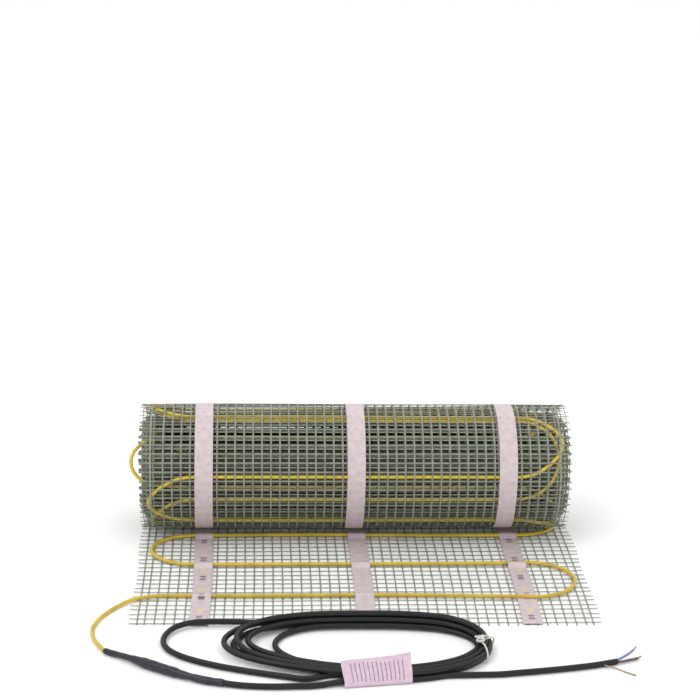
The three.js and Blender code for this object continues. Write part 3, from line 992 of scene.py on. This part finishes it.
class HEATMAT_OT_tie(bpy.types.Operator):
    """Tie the coil with a strip of film"""

    bl_idname = "heatmat.tie"
    bl_label = "Tie"

    def execute(self, context):
        line, outward = coil_line(TIE_STEP)
        at = int(np.argmin(np.linalg.norm(line - np.array(TIE_PLACE), axis=1)))
        knot = line[at] - outward[at] * KNOT_INSET
        stations = np.arange(len(line))
        parts = []
        for direction in (-1, 1):
            strap = []
            for share, out, z in TIE_STRAP:
                where = at + direction * share * TIE_SPREAD / TIE_STEP
                beside = line + outward * out
                point = [np.interp(where, stations, beside[:, axis]) for axis in (0, 1)]
                strap.append((*point, z))
            parts.append(tube_mesh("tie_strap", catmull(strap, 1.2), 0.9, 8))
        turns = np.linspace(0, 13, 40)
        twist = [(knot[0] + 3.6 * math.cos(t) * (1 - t / 30), knot[1] + 5.0 * math.sin(t) * (1 - t / 30),
                  KNOT_Z + 0.6 + 0.42 * t) for t in turns]
        parts.append(tube_mesh("tie_knot", twist, 1.35, 8))
        for heading, reach in ((0.5, 9.0), (2.9, 6.0)):
            out = np.linspace(0, reach, 9)
            x, s = knot[0] + math.cos(heading) * out, knot[1] + math.sin(heading) * out
            tail = np.stack([x, s, KNOT_Z + 4 + np.sin(out / 3)], axis=1)
            parts.append(tube_mesh("tie_tail", tail, np.linspace(1.4, 0.8, 9), 8))
        obj = joined(parts, "coil_tie_film")
        smooth_shaded(obj, 60)
        colours = context.scene.heatmat_colours
        finish_piece(obj, tie_finish(colours), ("coil_tie",))
        return {"FINISHED"}


class HEATMAT_OT_declare(bpy.types.Operator):
    """Work out the real lengths of the two free cords and what is on them, without keeping or stating them
    """

    bl_idname = "heatmat.declare"
    bl_label = "Declare cords"

    def execute(self, context):
        exit_point = metres([YELLOW_ROUTE[0]])[0]
        distances(metres(yellow_route()))[-1]
        millimetres("cable_diameter") * MM
        tuple(metres([LEAD_START_ROUTE[0]])[0])
        distances(metres(cold_lead_route()))[-1]
        millimetres("lead_diameter") * MM
        return {"FINISHED"}


# Stage

FLOOR_SIZE = 24
SKY_STRENGTH = 1.02

# Each light's name, place, target, size and power
LIGHTS = (
    ("key", (-1.6, -1.2, 2.6), (0, 0, 0), (1.6, 1.6), 22),
    ("fill", (2.0, -1.6, 1.7), (0, 0, 0), (2.0, 2.0), 8),
    ("back", (0.2, 2.2, 2.0), (0, 0, 0.1), (2.4, 1.2), 8),
)


def add_camera():
    yaw, pitch, roll = (math.radians(a) for a in (CAMERA_YAW, CAMERA_PITCH, CAMERA_ROLL))
    ahead = Vector((math.sin(yaw) * math.cos(pitch), math.cos(yaw) * math.cos(pitch), -math.sin(pitch)))
    level = Vector((math.cos(yaw), -math.sin(yaw), 0))
    upright = level.cross(ahead)
    right = math.cos(roll) * level + math.sin(roll) * upright
    up = -math.sin(roll) * level + math.cos(roll) * upright
    data = bpy.data.cameras.new("camera")
    data.lens = CAMERA_LENS
    data.sensor_width = 36
    data.clip_start = 0.05
    data.clip_end = 40
    camera = bpy.data.objects.new("camera", data)
    bpy.context.scene.collection.objects.link(camera)
    turned = Matrix((right, up, -ahead)).transposed().to_4x4()
    camera.matrix_world = Matrix.Translation(metres([CAMERA_PLACE])[0]) @ turned
    bpy.context.scene.camera = camera


def add_light(name, place_at, target, size, power):
    data = bpy.data.lights.new(name, "AREA")
    data.shape = "RECTANGLE"
    data.size, data.size_y = size
    data.energy = power
    light = bpy.data.objects.new(name, data)
    bpy.context.scene.collection.objects.link(light)
    light.location = place_at
    light.rotation_euler = (Vector(target) - Vector(place_at)).to_track_quat("-Z", "Y").to_euler()


class HEATMAT_OT_stage(bpy.types.Operator):
    """Add the camera, the pale floor and soft studio light"""

    bl_idname = "heatmat.stage"
    bl_label = "Stage"

    def execute(self, context):
        add_camera()
        bpy.ops.mesh.primitive_plane_add(size=FLOOR_SIZE, location=(0, 0, 0))
        floor = named(context.object, "floor")
        floor.data.materials.append(floor_finish())
        for light in LIGHTS:
            add_light(*light)
        world = bpy.data.worlds.new("studio")
        world.use_nodes = True
        world.node_tree.nodes["Background"].inputs["Color"].default_value = (1, 1, 1, 1)
        world.node_tree.nodes["Background"].inputs["Strength"].default_value = SKY_STRENGTH
        context.scene.world = world
        context.scene.view_settings.view_transform = "Standard"
        return {"FINISHED"}


def colour_property(name, description, default):
    return bpy.props.FloatVectorProperty(
        name=name, description=description, default=default, subtype="COLOR_GAMMA", size=3, min=0, max=1
    )


class HeatMatColours(bpy.types.PropertyGroup):
    """Colours of the mat's materials"""

    net: colour_property("Net", "Coated glass-fibre threads", (0.53, 0.55, 0.485))
    # Painted shade: the inner net is the net's colour made darker for the shade inside the roll
    painted_shade_inner_net: colour_property("Inner net", "Threads of the roll's inner turns", (0.40, 0.415, 0.365))
    tape: colour_property("Tape", "Adhesive tapes", (0.80, 0.74, 0.75))
    cable: colour_property("Cable", "Sheath of the heating cable", (0.804, 0.686, 0.176))
    lead: colour_property("Lead", "Sheath of the cold lead", (0.075, 0.082, 0.086))
    sleeve: colour_property("Sleeve", "Heat-shrink joint sleeve", (0.13, 0.125, 0.165))
    brown: colour_property("Brown core", "Insulation of the first core", (0.373, 0.267, 0.212))
    blue: colour_property("Blue core", "Insulation of the second core", (0.49, 0.514, 0.706))
    label: colour_property("Label", "Paper of the label", (0.81, 0.72, 0.78))
    tie: colour_property("Tie", "Film that ties the coil", (0.847, 0.847, 0.831))


def length_property(name, description, default):
    return bpy.props.FloatProperty(
        name=name, description=description, default=default * MM, unit="LENGTH", min=0, precision=5
    )


class HeatMatSizes(bpy.types.PropertyGroup):
    """Sizes of the mat's threads, tapes and cables"""

    flat_thread: length_property("Flat thread", "Width of the flat net's threads", FLAT_THREAD)
    rolled_thread: length_property("Rolled thread", "Width of the roll's outer threads", ROLLED_THREAD)
    tape_width: length_property("Tape width", "Width of the six tapes", TAPE_WIDTH)
    tape_thickness: length_property("Tape thickness", "Thickness of the six tapes", TAPE_THICKNESS)
    cable_diameter: length_property("Cable diameter", "Diameter of the heating cable", CABLE_DIAMETER)
    lead_diameter: length_property("Lead diameter", "Diameter of the cold lead", LEAD_DIAMETER)


class HEATMAT_PT_panel(bpy.types.Panel):
    """Settings of the mat and the buttons that build it"""

    bl_idname = "HEATMAT_PT_panel"
    bl_label = "Heating mat"
    bl_space_type = "VIEW_3D"
    bl_region_type = "UI"
    bl_category = "Heating mat"

    def draw(self, context):
        scene = context.scene
        for settings in (scene.heatmat_sizes, scene.heatmat_colours):
            for name in type(settings).__annotations__:
                self.layout.prop(settings, name)
        for name in STEPS:
            self.layout.operator(f"heatmat.{name}")


STEPS = ("stage", "leads", "sleeve", "cores", "label", "tie", "net", "cable", "tapes", "declare")
CLASSES = (
    HeatMatColours, HeatMatSizes, HEATMAT_OT_stage, HEATMAT_OT_leads, HEATMAT_OT_sleeve,
    HEATMAT_OT_cores, HEATMAT_OT_label, HEATMAT_OT_tie, HEATMAT_OT_net, HEATMAT_OT_cable, HEATMAT_OT_tapes,
    HEATMAT_OT_declare, HEATMAT_PT_panel,
)


def register():
    for cls in CLASSES:
        bpy.utils.register_class(cls)
    bpy.types.Scene.heatmat_colours = bpy.props.PointerProperty(type=HeatMatColours)
    bpy.types.Scene.heatmat_sizes = bpy.props.PointerProperty(type=HeatMatSizes)


def unregister():
    del bpy.types.Scene.heatmat_sizes
    del bpy.types.Scene.heatmat_colours
    for cls in reversed(CLASSES):
        bpy.utils.unregister_class(cls)


def main():
    register()
    for name in STEPS:
        getattr(bpy.ops.heatmat, name)()


if __name__ == "__main__":
    main()
